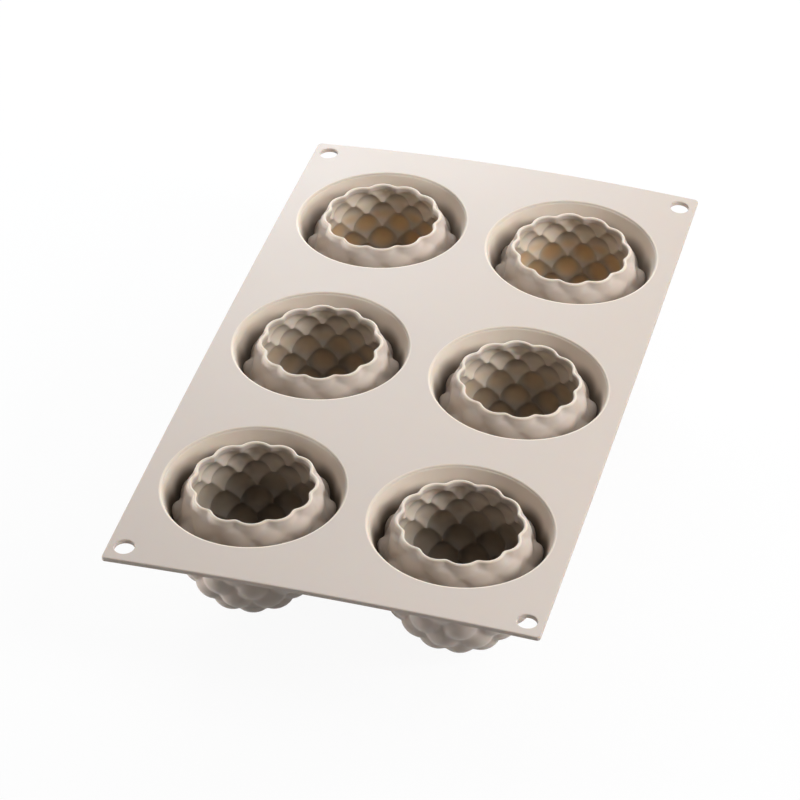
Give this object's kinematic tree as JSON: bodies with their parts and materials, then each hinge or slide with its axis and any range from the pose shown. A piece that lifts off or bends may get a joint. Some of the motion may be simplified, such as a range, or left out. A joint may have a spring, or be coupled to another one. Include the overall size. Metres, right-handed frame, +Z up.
{
  "type": "silicone fruit mould",
  "caption": "Flexible silicone baking mould: a thin sheet of berry-shaped cups with scalloped rims, each standing in a round groove, with hanging holes in the corners.",
  "frame": {"origin": "under the middle of the sheet, on the surface that the cups stand on", "axes": "+Z up out of the cup mouths, +Y along the sheet's long side towards the back, +X along the short side to the right"},
  "size_m": [0.175, 0.3, 0.0584],
  "materials": {
    "silicone": "satin warm greige silicone, slightly translucent where it is thin"
  },
  "bodies": {
    "root": {"top_sheet": "silicone", "groove_wall_front_left": "silicone", "groove_wall_middle_left": "silicone", "groove_wall_back_left": "silicone", "groove_wall_front_right": "silicone", "groove_wall_middle_right": "silicone", "groove_wall_back_right": "silicone", "berry_cup_front_left": "silicone", "berry_cup_middle_left": "silicone", "berry_cup_back_left": "silicone", "berry_cup_front_right": "silicone", "berry_cup_middle_right": "silicone", "berry_cup_back_right": "silicone"}
  },
  "joints": []
}
